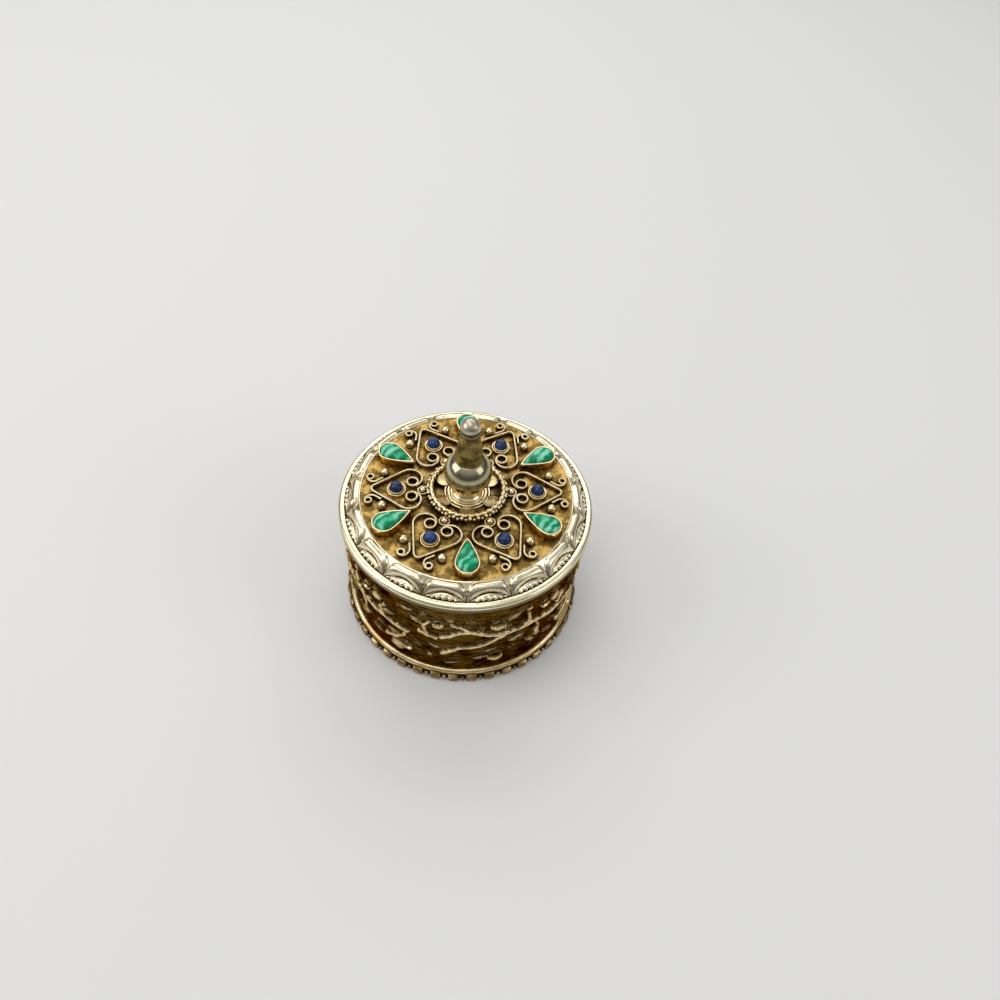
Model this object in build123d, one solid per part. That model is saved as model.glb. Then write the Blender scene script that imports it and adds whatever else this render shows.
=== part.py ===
from build123d import *
from math import asin, atan2, ceil, cos, degrees, pi, radians, sin, sqrt, tan
import os

# Round trinket box with a lift-off filigree lid. Millimetres, +Z up.
# The origin is the centre of the foot's underside. The front green stone lies towards -Y.
# Rounds are drawn as equal flats, enough of them that they stray less than 0.08 mm from the round.

# Box
rim_radius = 30.0
rim_roll_width = 1.6
rim_roll_height = 2.4
rim_bevel = 0.55
rim_overhang = 1.4
wall_thickness = 1.0
wall_height = 27.8
base_thickness = 1.2
foot_height = 2.6
foot_reach = 1.9
foot_ring_width = 3.0
foot_bar_count = 42
foot_bar_width = 2.7
foot_bar_relief = 1.0
foot_bar_slope = 0.35
foot_bar_root = 0.3
foot_wire_height = 0.9
foot_wire_width = 0.85

# Raised ornament on the wall
# The branches, leaves and blossoms of one repeat, in degrees round the wall and mm above the foot's underside
relief_height = 0.75
relief_root = 0.5
relief_repeats = 4
relief_step = 12.0
main_branch_width = 1.5
branch_lap = 0.35
main_branch = [(222, 18.5), (243, 17.2), (255, 19.2), (265, 21.2), (273, 21.9), (282, 20.0), (302, 19.6)]
main_branch.append((312, 18.5))
side_branch_width = 1.3
side_branch = [(260, 11.6), (268, 14.8), (276, 15.2), (290, 19.3)]
leaf_length = 4.6
leaf_width = 2.4
leaves = [(233, 21.0, 20), (236, 13.6, -15), (247, 24.0, -32), (295, 15.4, 12), (293, 25.8, 24)]
leaves.append((303, 11.2, -38))
blossom_sides = 6
blossoms = [(285, 23.7, 2.0), (285, 9.4, 2.0), (226, 24.2, 1.7), (237, 8.3, 2.2), (258, 24.4, 1.5)]
blossoms.append((309, 24.6, 1.4))

# Lid
skirt_gap = 0.3
skirt_thickness = 0.8
skirt_depth = 5.0
border_groove_depth = 0.3
border_rise = 2.8
border_run = 3.6
border_ledge_width = 1.1
border_lip_width = 0.2
plate_thickness = 0.8
plate_sink = 0.1
lappet_count = 18
lappet_relief = 0.6
lappet_shoulder = 1.1
lappet_band = 1.9
lappet_root = 0.2
lappet_corner = 0.37
lappet_haunch_share = 0.75
lappet_side_gap = 0.12

# Scroll wires
scroll_count = 6
scroll_wire_width = 0.4
scroll_wire_height = 1.05
heart_tip_inset = 2.6
heart_tip_radius = 1.1
volute_radius = 2.75
volute_cup_gap = 1.5
volute_tightening = 0.8
volute_ring_radius = 1.25
volute_ring_turn = 265.0
heart_gap = 1.0
comma_wire_gap = 0.45
comma_bend_radius = 1.5
comma_ring_radius = 0.75
comma_ring_turn = 250.0
comma_tail_length = 1.5
comma_edge_gap = 1.3
comma_height_share = 0.9
wire_bend_step = 36.0

# Stones, bezels and granules
drop_length = 8.4
drop_width = 4.8
drop_height = 3.0
drop_side_turn = 105.0
drop_margin = 0.95
drop_bezel_thickness = 0.35
drop_bezel_height = 2.2
drop_flank_step = 12.0
round_stone_diameter = 3.1
round_stone_height = 3.1
stone_crown_turns = (0, 36, 66)
round_collar_thickness = 0.2
round_collar_height = 1.2
round_dish_width = 0.6
round_dish_floor = 0.35
round_dish_wall = 0.28
round_dish_height = 0.8
stone_gap = 0.6
granule_radius = 1.05
granule_inset = 4.65
mouth_granule_radius = 0.8
granule_sides = 8
granule_profile = [(0, 0.75), (0.75, 1), (1.5, 0.6)]
mouth_granule_gap = 0.4

# Centre and finial
cup_radius = 8.65
cup_wall = 0.5
cup_height = 1.8
rope_width = 0.9
rope_height = 0.5
rosette_thickness = 0.5
rosette_petal_count = 6
rosette_ring_width = 0.6
rosette_tip_gap = 0.25
rosette_shoulder_share = 0.875
collar_height = 3.0
collar_radius = 4.0
collar_foot_height = 0.6
collar_waist_radius = 3.0
ball_diameter = 11.0
ball_bands = 8
ball_seat_radius = 3.2
stem_base_radius = 3.35
stem_top_radius = 2.3
stem_height = 7.7
stem_lip_height = 0.45
stem_lip_width = 0.12
cap_radius = 2.3
cap_height = 4.0
cap_ring_height = 0.9
cap_groove_height = 0.5
cap_groove_depth = 0.3
cap_dome_step = 22.5
cap_flat_radius = 0.5
pin_radius = 0.75
pin_head_radius = 1.5
pin_head_height = 0.6
washer_radius = 2.4
washer_thickness = 0.6

# Clearances
solder_gap = 0.05

# Flats that stand for a full round
wide_flats = 60
finial_flats = 30
stone_flats = 12
pin_flats = 12

# Heights
base_top = foot_height + base_thickness
seat_height = base_top + wall_height
border_foot_height = rim_roll_height - border_groove_depth
slope_foot = seat_height + border_foot_height
slope_top = slope_foot + border_rise
plate_top = slope_top - plate_sink
plate_bottom = plate_top - plate_thickness
ball_bottom = plate_top + collar_height
ball_radius = ball_diameter / 2
ball_seat_drop = sqrt(ball_radius**2 - ball_seat_radius**2)
ball_centre = ball_bottom + ball_seat_drop
ball_top = ball_centre + ball_seat_drop
stem_top = ball_top + stem_height
washer_bottom = plate_bottom - washer_thickness
pin_top = stem_top + cap_height / 2

# Radii
drum_radius = rim_radius - rim_overhang
drum_bore = drum_radius - wall_thickness
foot_radius = drum_radius + foot_reach
skirt_radius = drum_bore - skirt_gap
skirt_bore = skirt_radius - skirt_thickness
roll_bore = rim_radius - rim_roll_width
border_radius = roll_bore - solder_gap
slope_top_radius = border_radius - border_run
plate_radius = slope_top_radius - solder_gap
cup_bore = cup_radius - cup_wall
pin_hole = pin_radius + solder_gap
scroll_pitch = 360 / scroll_count


def around(shape, count, first=0.0):
    """Copies of one shape, evenly spaced about the axis."""
    return [Rot(0, 0, first + index * 360 / count) * shape for index in range(count)]


def outline_face(points):
    """A flat face from its corner points."""
    return make_face(Polyline(*points, close=True))


def arc_points(centre, radius, start, end, step):
    """Points on an arc, in degrees, at equal steps no longer than the given one."""
    count = max(1, ceil(abs(end - start) / step))
    turns = [radians(start + (end - start) * index / count) for index in range(count + 1)]
    return [(centre[0] + radius * cos(turn), centre[1] + radius * sin(turn)) for turn in turns]


def polygon_points(radius, sides, first=0.0):
    """Corners of a regular polygon about the origin, with a whole number of sides."""
    count = round(sides)
    turns = [radians(first + index * 360 / count) for index in range(count)]
    return [(radius * cos(turn), radius * sin(turn)) for turn in turns]


def facet(corners):
    """A flat face through corner points in space."""
    return Face(Wire.make_polygon(corners, close=True))


def faceted(rings):
    """A solid with flat faces through rings of points, from the lowest ring to the highest."""
    faces = [facet(rings[0]), facet(rings[-1])]
    for low, high in zip(rings, rings[1:]):
        for index in range(len(low)):
            faces.append(facet([low[index - 1], low[index], high[index], high[index - 1]]))
    return Solid(Shell(faces))


def stack(outline, levels, bottom):
    """A solid through scaled copies of one outline, each level given as (height, scale)."""
    return faceted([[(x * size, y * size, bottom + height) for x, y in outline] for height, size in levels])


def turned(levels, flats):
    """A round solid about the axis through levels given as (height, radius), its corners at the radius."""
    return stack(polygon_points(1, flats), levels, 0)


def bore(levels, flats):
    """The cutter of a round hole through levels given as (height, radius), its flats at the radius."""
    return stack(polygon_points(1 / cos(pi / flats), flats), levels, 0)


def tube(outer, inner, bottom, height, flats, inner_flats):
    """A plain ring standing on the given height."""
    top = bottom + height
    return turned([(bottom, outer), (top, outer)], flats) - bore([(bottom, inner), (top, inner)], inner_flats)


# Box pieces


def make_base_plate():
    """The bottom disc, soldered on the foot ring, which the wall stands on."""
    return turned([(foot_height, drum_radius), (base_top, drum_radius)], wide_flats)


def make_foot_moulding():
    """Ring with a row of cushion bars round the outside, one on each of its flats."""
    core_radius = foot_radius - foot_bar_relief
    core = polygon_points(core_radius / cos(pi / foot_bar_count), foot_bar_count, 180 / foot_bar_count)
    ring = stack(core, [(0, 1), (foot_height, 1)], 0)
    ring_bore = drum_radius + solder_gap - foot_ring_width
    ring -= bore([(0, ring_bore), (foot_height, ring_bore)], wide_flats)
    levels = []
    for out, inset in ((-foot_bar_root, 0), (foot_bar_relief, foot_bar_slope)):
        half_width = foot_bar_width / 2 - inset
        half_height = foot_height / 2 - foot_bar_slope - inset
        corners = [(half_width, half_height), (-half_width, half_height), (-half_width, -half_height)]
        corners.append((half_width, -half_height))
        levels.append([(core_radius + out, y, foot_height / 2 + z) for y, z in corners])
    return ring + around(faceted(levels), foot_bar_count)


def make_foot_wire():
    """Wire in the corner between wall and foot, its round drawn as two bevels."""
    inner = drum_radius + solder_gap
    outer = inner + foot_wire_width
    middle = foot_height + foot_wire_height / 2
    high = foot_height + foot_wire_height
    levels = [(foot_height, outer), (middle, outer), (high, inner + foot_wire_width / 2)]
    return turned(levels, wide_flats) - bore([(foot_height, inner), (high, inner)], wide_flats)


def on_wall(face, angle, height):
    """A flat shape laid on the wall at an angle and height, raised by the relief and rooted in the wall."""
    turn = radians(angle)
    plane = Plane(
        origin=(drum_radius * cos(turn), drum_radius * sin(turn), height),
        x_dir=(-sin(turn), cos(turn), 0),
        z_dir=(cos(turn), sin(turn), 0),
    )
    return extrude(plane.offset(-relief_root) * face, relief_height + relief_root)


def branch_bars(path, width):
    """Short bars end to end along a branch, each a little longer than its share so that they join."""
    bars = []
    for (start_angle, start_height), (end_angle, end_height) in zip(path, path[1:]):
        count = ceil((end_angle - start_angle) / relief_step)
        run = radians(end_angle - start_angle) * drum_radius / count
        climb = (end_height - start_height) / count
        bar = Rot(0, 0, degrees(atan2(climb, run))) * Rectangle(sqrt(run**2 + climb**2) + branch_lap, width)
        for index in range(count):
            share = (index + 0.5) / count
            angle = start_angle + (end_angle - start_angle) * share
            bars.append(on_wall(bar, angle, start_height + (end_height - start_height) * share))
    return bars


def make_drum_wall():
    """Plain tube with raised branches running round, and leaves and blossoms above and below them."""
    wall = tube(drum_radius, drum_bore, base_top, wall_height, wide_flats, wide_flats)
    raised = branch_bars(main_branch, main_branch_width) + branch_bars(side_branch, side_branch_width)
    half = leaf_length / 2
    bow = (half**2 + (leaf_width / 2) ** 2) / leaf_width
    reach = degrees(asin(half / bow))
    upper = arc_points((0, leaf_width / 2 - bow), bow, 90 - reach, 90 + reach, reach)
    leaf = outline_face(upper + [(x, -y) for x, y in upper[-2:0:-1]])
    for angle, height, lean in leaves:
        raised.append(on_wall(Rot(0, 0, lean) * leaf, angle, height))
    for angle, height, radius in blossoms:
        raised.append(on_wall(outline_face(polygon_points(radius, blossom_sides)), angle, height))
    for shape in raised:
        wall += around(shape, relief_repeats)
    return wall


# Lid pieces


def make_lid_rim():
    """Heavy rolled ring round the border's foot, its round drawn as bevels."""
    roll_top = seat_height + rim_roll_height
    shoulder = rim_radius - rim_bevel
    levels = [(seat_height, shoulder), (seat_height + rim_bevel, rim_radius), (roll_top - rim_bevel, rim_radius)]
    levels.append((roll_top, shoulder))
    return turned(levels, wide_flats) - bore([(seat_height, roll_bore), (roll_top, roll_bore)], wide_flats)


def make_lid_skirt():
    """Collar under the border, which drops inside the wall."""
    return tube(skirt_radius, skirt_bore, seat_height - skirt_depth, skirt_depth, wide_flats, wide_flats)


border_half_side = pi / lappet_count
border_foot_flat = border_radius * cos(border_half_side)
border_top_flat = slope_top_radius + border_lip_width
slope_run = border_foot_flat - border_top_flat
slope_length = sqrt(slope_run**2 + border_rise**2)


def lappet_face():
    """One lappet's arch, drawn on its flat of the slope: x along the rim, y up the slope."""
    half_foot = border_foot_flat * tan(border_half_side) - lappet_side_gap
    half_top = border_top_flat * tan(border_half_side) - lappet_side_gap
    top = slope_length - lappet_side_gap
    haunch = (half_foot / 2, (top - lappet_band) * lappet_haunch_share)
    right = [
        (half_foot, lappet_side_gap),
        (half_top, top - lappet_shoulder),
        (half_top - lappet_corner, top - lappet_corner),
        (half_top - lappet_shoulder, top),
    ]
    left = [(-x, y) for x, y in right[::-1]]
    return outline_face(right + left + [(-haunch[0], haunch[1]), (0, top - lappet_band), haunch])


def make_petal_border():
    """Sloping band of flats, each with a raised lappet, round a seat for the plate."""
    corner_share = 1 / cos(border_half_side)
    outline = polygon_points(corner_share, lappet_count, 180 / lappet_count)
    levels = [(0, border_foot_flat), (border_foot_height, border_foot_flat)]
    levels.append((border_foot_height + border_rise, border_top_flat))
    band = stack(outline, levels, seat_height)
    ledge_bore = slope_top_radius - border_ledge_width
    hollow = bore([(seat_height, skirt_bore), (plate_bottom, ledge_bore)], wide_flats)
    hollow += bore([(plate_bottom, slope_top_radius), (slope_top, slope_top_radius)], wide_flats)
    flat = Plane(
        origin=(border_foot_flat, 0, slope_foot),
        x_dir=(0, 1, 0),
        z_dir=(border_rise, 0, slope_run),
    )
    lappet = extrude(flat.offset(-lappet_root) * lappet_face(), lappet_relief + lappet_root)
    return band - hollow + around(lappet, lappet_count)


def make_lid_plate():
    """Round plate on the border's ledge, with the hole for the finial's pin."""
    return tube(plate_radius, pin_hole, plate_bottom, plate_thickness, wide_flats, pin_flats)


# Layout of the filigree, in a frame with x pointing outward along a heart's axis

scroll_half_width = scroll_wire_width / 2
half_pitch = radians(scroll_pitch / 2)
volute_centre_x = cup_radius + rope_width / 2 + volute_radius + volute_cup_gap
volute_clearance = (volute_radius + scroll_half_width + heart_gap) / cos(half_pitch)
volute_centre_y = volute_centre_x * tan(half_pitch) - volute_clearance
tip_centre_x = plate_radius - heart_tip_inset - heart_tip_radius
side_span = sqrt((tip_centre_x - volute_centre_x) ** 2 + volute_centre_y**2)
side_bearing = atan2(volute_centre_y, tip_centre_x - volute_centre_x)
side_lean = side_bearing + asin((volute_radius - heart_tip_radius) / side_span)
side_length = sqrt(side_span**2 - (volute_radius - heart_tip_radius) ** 2)
round_bore = round_stone_diameter / 2 + solder_gap
round_bezel_radius = round_bore + round_dish_width
inner_turn = volute_radius * volute_tightening
inner_turn_x = volute_centre_x - (volute_radius - inner_turn)
ring_centre_y = volute_centre_y - (inner_turn - volute_ring_radius)
round_stone_reach = round_bezel_radius + volute_ring_radius + scroll_half_width + stone_gap
round_stone_x = inner_turn_x + sqrt(round_stone_reach**2 - ring_centre_y**2)


def walk(start, heading, moves):
    """Places (x, y, heading) along straight runs (turn 0) and arcs to the left, at short equal steps."""
    places = [(start[0], start[1], radians(heading))]
    for size, turn in moves:
        x, y, bearing = places[-1]
        if turn == 0:
            places.append((x + size * cos(bearing), y + size * sin(bearing), bearing))
            continue
        centre_x = x - size * sin(bearing)
        centre_y = y + size * cos(bearing)
        count = ceil(turn / wire_bend_step)
        for index in range(1, count + 1):
            bent = bearing + radians(turn) * index / count
            places.append((centre_x + size * sin(bent), centre_y - size * cos(bent), bent))
    return places


def ribbon(places, width, height, bottom):
    """Flat wire standing on edge along the places, with square ends."""
    half = width / 2
    left = [(x - half * sin(bearing), y + half * cos(bearing)) for x, y, bearing in places]
    right = [(x + half * sin(bearing), y - half * cos(bearing)) for x, y, bearing in places]
    return Pos(0, 0, bottom) * extrude(outline_face(left + right[::-1]), height)


def make_heart_scroll():
    """One wire bent to a heart, from the end of one volute round the tip to the other."""
    half = [
        (heart_tip_radius, 90 - degrees(side_lean)),
        (side_length, 0),
        (volute_radius, 90 + degrees(side_lean)),
    ]
    half += [(inner_turn, 90), (volute_ring_radius, volute_ring_turn)]
    end_x, end_y, end_bearing = walk((tip_centre_x + heart_tip_radius, 0), 90, half)[-1]
    places = walk((end_x, -end_y), 180 - degrees(end_bearing), half[::-1] + half)
    return ribbon(places, scroll_wire_width, scroll_wire_height, plate_top)


def make_comma_scroll():
    """Small hook beside the heart's tip, curling into a ring."""
    offset = comma_wire_gap + scroll_wire_width
    bend_centre_x = plate_radius - comma_edge_gap - comma_bend_radius
    bend_start_x = bend_centre_x - comma_bend_radius * sin(side_lean)
    line_distance = tip_centre_x * sin(side_lean) + heart_tip_radius + offset
    bend_start_y = (line_distance - bend_start_x * sin(side_lean)) / cos(side_lean)
    start_x = bend_start_x - comma_tail_length * cos(side_lean)
    start_y = bend_start_y + comma_tail_length * sin(side_lean)
    moves = [(comma_tail_length, 0), (comma_bend_radius, 90 + degrees(side_lean))]
    moves.append((comma_ring_radius, comma_ring_turn))
    places = walk((start_x, start_y), -degrees(side_lean), moves)
    return ribbon(places, scroll_wire_width, scroll_wire_height * comma_height_share, plate_top)


drop_round_radius = drop_width / 2
drop_centre_x = plate_radius - drop_margin - drop_round_radius


crown_turns = [radians(turn) for turn in stone_crown_turns]


def drop_outline(grow):
    """A teardrop about its round end's centre, its point towards -X, grown outward by the given amount."""
    tip = drop_round_radius - drop_length
    normal_x = cos(radians(drop_side_turn))
    normal_y = sin(radians(drop_side_turn))
    reach_x = drop_round_radius * normal_x - tip
    reach_y = drop_round_radius * normal_y
    side_radius = (reach_x**2 + reach_y**2) / (2 * (reach_x * normal_x + reach_y * normal_y))
    side_x = (drop_round_radius - side_radius) * normal_x
    side_y = (drop_round_radius - side_radius) * normal_y
    grown_side = side_radius + grow
    grown_tip = side_x - sqrt(grown_side**2 - side_y**2)
    tip_turn = degrees(atan2(-side_y, grown_tip - side_x))
    flank = arc_points((side_x, side_y), grown_side, tip_turn, drop_side_turn, drop_flank_step)
    crown = arc_points((0, 0), drop_round_radius + grow, drop_side_turn, -drop_side_turn, wire_bend_step)
    other_flank = [(x, -y) for x, y in flank[::-1]]
    return flank + crown[1:] + other_flank[1:-1]


def make_drop_stone():
    """Teardrop cabochon: an upright girdle under a crown that draws in to a low dome."""
    rise = drop_height - drop_bezel_height
    crown = [(drop_bezel_height + rise * sin(turn), cos(turn)) for turn in crown_turns]
    return Pos(drop_centre_x, 0, 0) * stack(drop_outline(0), [(0, 1)] + crown, plate_top)


def make_drop_bezel():
    """Plain strip round the teardrop stone."""
    strip = outline_face(drop_outline(solder_gap + drop_bezel_thickness)) - outline_face(drop_outline(solder_gap))
    return Pos(drop_centre_x, 0, plate_top) * extrude(strip, drop_bezel_height)


def make_round_bezel():
    """Tight collar round the blue stone, standing in a shallow dish with a thin wall."""
    radii = (round_bezel_radius, round_bore, round_bore + round_collar_thickness, round_bezel_radius - round_dish_wall)
    dish, hole, collar, hollow = [outline_face(polygon_points(radius, stone_flats)) for radius in radii]
    solid = extrude(dish - hole, round_dish_floor) + extrude(dish - hollow, round_dish_height)
    solid += extrude(collar - hole, round_collar_height)
    return Pos(round_stone_x, 0, plate_top) * solid


def make_round_stone():
    """High round cabochon standing in its collar."""
    radius = round_stone_diameter / 2
    girdle = round_stone_height - radius
    crown = [(girdle + radius * sin(turn), cos(turn)) for turn in crown_turns]
    levels = [(0, 1)] + crown
    return Pos(round_stone_x, 0, 0) * stack(polygon_points(radius, stone_flats), levels, plate_top)


def granule(radius, x, y):
    """A ball sunk a little into its solder."""
    levels = [(height * radius, size) for height, size in granule_profile]
    return Pos(x, y, 0) * stack(polygon_points(radius, granule_sides), levels, plate_top)


def make_granules():
    """Two balls beside each teardrop and one at each heart's mouth."""
    reach = plate_radius - granule_inset
    heart_edge = asin((tip_centre_x * sin(side_lean) + heart_tip_radius + scroll_half_width) / reach) - side_lean
    bezel_edge = half_pitch - asin((drop_round_radius + solder_gap + drop_bezel_thickness) / reach)
    middle = (heart_edge + bezel_edge) / 2
    flank = granule(granule_radius, reach * cos(middle), reach * sin(middle))
    mouth_x = cup_radius + rope_width / 2 + mouth_granule_gap + mouth_granule_radius
    mouth = granule(mouth_granule_radius, mouth_x, 0)
    flanks = around(flank, scroll_count) + around(mirror(flank, Plane.XZ), scroll_count)
    return Compound(children=flanks + around(mouth, scroll_count))


# Centre and finial


def make_centre_cup():
    """Raised ring wall round the finial's seat."""
    return tube(cup_radius, cup_bore, plate_top, cup_height, finial_flats, finial_flats)


def make_rope_ring():
    """Wire ring on the cup's edge, bevelled above."""
    middle = (cup_radius + cup_bore) / 2
    low = plate_top + cup_height
    high = low + rope_height
    half = rope_width / 2
    ring = turned([(low, middle + half), (high, middle + half / 2)], finial_flats)
    return ring - bore([(low, middle - half), (high, middle - half / 2)], finial_flats)


def make_rosette():
    """Six pointed petals on a ring, flat on the cup's floor."""
    ring_bore = collar_radius + solder_gap
    ring_outer = ring_bore + rosette_ring_width
    ring = tube(ring_outer, ring_bore, plate_top, rosette_thickness, finial_flats, finial_flats)
    root = ring_outer - rosette_ring_width / 2
    tip = cup_bore - rosette_tip_gap
    half_width = tip * sin(pi / rosette_petal_count) / 2
    shoulder = root + (tip - root) * rosette_shoulder_share
    side = [(root, half_width / 2), ((root + tip) / 2, half_width), (shoulder, half_width / 2)]
    petal = outline_face(side + [(tip, 0)] + [(x, -y) for x, y in side[::-1]])
    solid = Pos(0, 0, plate_top) * extrude(petal, rosette_thickness)
    return ring + around(solid, rosette_petal_count, 180 / rosette_petal_count)


def on_pin(levels):
    """A turned piece of the finial through levels given as (height, radius), bored for the pin."""
    low, high = levels[0][0], levels[-1][0]
    return turned(levels, finial_flats) - bore([(low, pin_hole), (high, pin_hole)], pin_flats)


def make_finial_collar():
    """Gilt foot ring, a narrower waist and a seat, which the ball sits on."""
    levels = [(plate_top, collar_radius), (plate_top + collar_foot_height, collar_radius)]
    levels += [(plate_top + collar_height / 2, collar_waist_radius), (ball_bottom, ball_seat_radius)]
    return on_pin(levels)


def make_finial_ball():
    """Polished ball with flats above and below."""
    seat_turn = asin(ball_seat_drop / ball_radius)
    turns = [seat_turn * (2 * index / ball_bands - 1) for index in range(ball_bands + 1)]
    return on_pin([(ball_centre + ball_radius * sin(turn), ball_radius * cos(turn)) for turn in turns])


def make_finial_stem():
    """Tapered stem with a lip round its foot."""
    lip_top = ball_top + stem_lip_height
    levels = [(ball_top, stem_base_radius), (lip_top, stem_base_radius)]
    levels += [(lip_top, stem_base_radius - stem_lip_width), (stem_top, stem_top_radius)]
    return on_pin(levels)


def make_finial_cap():
    """Ring, groove and round knob that close the stack, with a blind bore for the pin."""
    groove_low = stem_top + cap_ring_height
    groove_high = groove_low + cap_groove_height
    groove_radius = cap_radius - cap_groove_depth
    dome = arc_points((0, stem_top + cap_height - cap_radius), cap_radius, 0, 90, cap_dome_step)
    levels = [(stem_top, cap_radius), (groove_low, cap_radius), (groove_low, groove_radius)]
    levels += [(groove_high, groove_radius), (groove_high, cap_radius)]
    levels += [(height, radius) for radius, height in dome[:-1]]
    levels.append((stem_top + cap_height, cap_flat_radius))
    return turned(levels, finial_flats) - bore([(stem_top, pin_hole), (pin_top, pin_hole)], pin_flats)


def make_finial_pin():
    """Rod through the stack, peened over the washer under the plate."""
    head_bottom = washer_bottom - pin_head_height
    head = [(head_bottom, pin_head_radius / 2), (washer_bottom, pin_head_radius), (washer_bottom, pin_radius)]
    return turned(head + [(pin_top - solder_gap, pin_radius)], pin_flats)


def make_finial_washer():
    """Flat washer between the plate and the pin's head."""
    return tube(washer_radius, pin_hole, washer_bottom, washer_thickness, finial_flats, pin_flats)


def build():
    """Every node's shape by name."""
    nodes = {
        "foot_moulding": make_foot_moulding(),
        "foot_wire": make_foot_wire(),
        "base_plate": make_base_plate(),
        "drum_wall": make_drum_wall(),
        "lid_rim": make_lid_rim(),
        "lid_skirt": make_lid_skirt(),
        "petal_border": make_petal_border(),
        "lid_plate": make_lid_plate(),
        "granules": make_granules(),
        "centre_cup": make_centre_cup(),
        "rope_ring": make_rope_ring(),
        "rosette": make_rosette(),
        "finial_collar": make_finial_collar(),
        "finial_ball": make_finial_ball(),
        "finial_stem": make_finial_stem(),
        "finial_cap": make_finial_cap(),
        "finial_pin": make_finial_pin(),
        "finial_washer": make_finial_washer(),
    }
    comma = make_comma_scroll()
    pair = Compound(children=[comma, mirror(comma, Plane.XZ)])
    repeated = {
        "heart_scroll": (make_heart_scroll(), 0),
        "comma_scrolls": (pair, 0),
        "round_bezel": (make_round_bezel(), 0),
        "round_stone": (make_round_stone(), 0),
        "drop_bezel": (make_drop_bezel(), scroll_pitch / 2),
        "drop_stone": (make_drop_stone(), scroll_pitch / 2),
    }
    for name, (shape, first) in repeated.items():
        for index, copy in enumerate(around(shape, scroll_count, first)):
            nodes[f"{name}_{index + 1}"] = copy
    return nodes


os.makedirs("parts", exist_ok=True)
for node, shape in build().items():
    export_step(shape, f"parts/{node}.step")
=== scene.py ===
# A round filigree trinket box with a lift-off lid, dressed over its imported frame.
import bmesh
import bpy
import math
from math import asin, atan2, cos, degrees, hypot, pi, radians, sin, sqrt
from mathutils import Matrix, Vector, noise


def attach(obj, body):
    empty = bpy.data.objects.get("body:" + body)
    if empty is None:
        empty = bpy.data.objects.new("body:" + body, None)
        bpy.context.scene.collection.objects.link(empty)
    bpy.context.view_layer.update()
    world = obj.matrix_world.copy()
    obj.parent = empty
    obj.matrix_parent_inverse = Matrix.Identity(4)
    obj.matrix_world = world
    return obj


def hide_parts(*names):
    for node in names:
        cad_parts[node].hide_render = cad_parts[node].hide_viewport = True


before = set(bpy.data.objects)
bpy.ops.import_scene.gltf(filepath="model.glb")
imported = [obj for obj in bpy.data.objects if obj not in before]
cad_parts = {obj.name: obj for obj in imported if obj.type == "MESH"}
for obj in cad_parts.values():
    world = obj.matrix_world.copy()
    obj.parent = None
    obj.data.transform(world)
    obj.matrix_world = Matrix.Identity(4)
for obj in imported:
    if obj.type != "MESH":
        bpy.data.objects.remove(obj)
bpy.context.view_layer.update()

mm = 0.001
# How many hearts, green stones and blue stones stand round the lid
lidRepeats = 6

# Sizes shared by several pieces, in mm, from the foot's underside up
box = {
    "drumRadius": 28.6, "drumBore": 27.6, "footHeight": 2.6, "wallFoot": 3.8, "seatHeight": 31.6,
    "plateTop": 36.4, "plateRadius": 24.7,
}
plateTop = box["plateTop"]


# Node tree helpers

# A node or a socket given for an input is linked to it, anything else is set on it
def feed(tree, node, entries):
    for key, value in entries.items():
        entry = node.inputs[key]
        for source in value if isinstance(value, list) else [value]:
            if isinstance(source, bpy.types.Node):
                tree.links.new(source.outputs[0], entry)
            elif isinstance(source, bpy.types.NodeSocket):
                tree.links.new(source, entry)
            else:
                entry.default_value = (*source, 1) if entry.type == "RGBA" else source
    return node


def addNode(tree, kind, entries=None, **settings):
    node = tree.nodes.new(kind)
    for key, value in settings.items():
        setattr(node, key, value)
    return feed(tree, node, entries or {})


def mathNode(tree, operation, first, second=0.5, clamp=False):
    return addNode(tree, "ShaderNodeMath", {0: first, 1: second}, operation=operation, use_clamp=clamp)


def mixColour(tree, factor, first, second):
    return addNode(tree, "ShaderNodeMix", {0: factor, 6: first, 7: second}, data_type="RGBA").outputs[2]


def ramp(tree, value, low, high, start=0.0, end=1.0):
    entries = {"Value": value, "From Min": low, "From Max": high, "To Min": start, "To Max": end}
    return addNode(tree, "ShaderNodeMapRange", entries, interpolation_type="SMOOTHSTEP").outputs["Result"]


def noiseValue(tree, coords, scale, detail=4.0, rough=0.55):
    entries = {"Vector": coords, "Scale": scale, "Detail": detail, "Roughness": rough}
    return addNode(tree, "ShaderNodeTexNoise", entries).outputs["Fac"]


def parted(tree, coords):
    return addNode(tree, "ShaderNodeSeparateXYZ", {0: coords}).outputs


def newMaterial(name):
    material = bpy.data.materials.new(name)
    material.use_nodes = True
    tree = material.node_tree
    tree.nodes.clear()
    shader = addNode(tree, "ShaderNodeBsdfPrincipled")
    addNode(tree, "ShaderNodeOutputMaterial", {"Surface": shader})
    return material, tree, shader, addNode(tree, "ShaderNodeTexCoord").outputs["Object"]


# How far a point lies from the box's axis
def fromAxis(tree, coords):
    parts = parted(tree, coords)
    squares = [mathNode(tree, "MULTIPLY", parts[index], parts[index]) for index in (0, 1)]
    return mathNode(tree, "SQRT", mathNode(tree, "ADD", *squares))


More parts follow.
